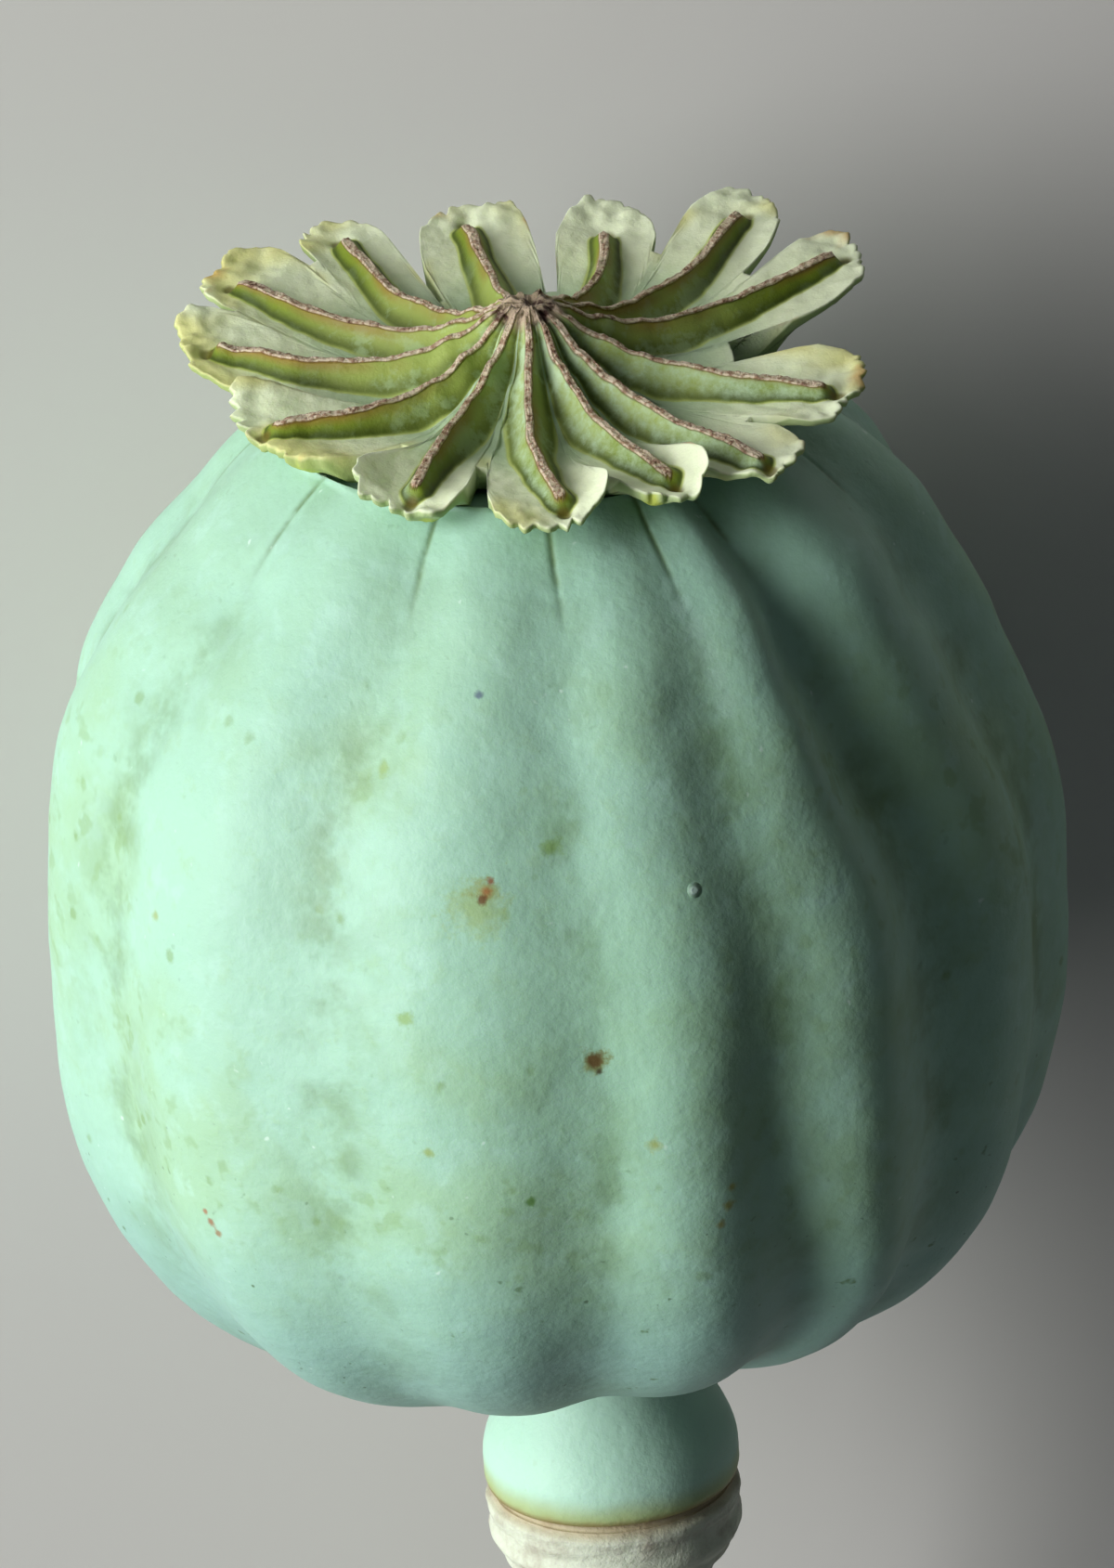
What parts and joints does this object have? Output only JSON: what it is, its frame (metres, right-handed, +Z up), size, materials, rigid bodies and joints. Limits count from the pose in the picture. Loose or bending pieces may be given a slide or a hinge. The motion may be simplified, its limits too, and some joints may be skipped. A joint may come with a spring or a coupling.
{
  "type": "poppy seed head",
  "caption": "Green ribbed poppy seed capsule with a scalloped stigmatic disc and a short cut stem, lying on its side.",
  "frame": {"origin": "bottom centre of the bounding box, on the surface that the head lies on", "axes": "+Z up, +Y toward the crown, -Y toward the cut end of the stem; the head's own axis rises 6 degrees toward +Y"},
  "size_m": [0.0424, 0.0922, 0.0418],
  "materials": {
    "capsule_skin": "living plant skin, pale blue-green under a matte waxy bloom, with faint green mottling",
    "stigma_tissue": "living plant tissue, cream blades with green ridge walls and crumbly beige-brown crests",
    "stem_skin": "living plant skin, cream ring with fine grey-brown ridges on a pale green stem"
  },
  "bodies": {
    "root": {"capsule": "capsule_skin", "stigma_disc": "stigma_tissue", "stem": "stem_skin"}
  },
  "joints": []
}
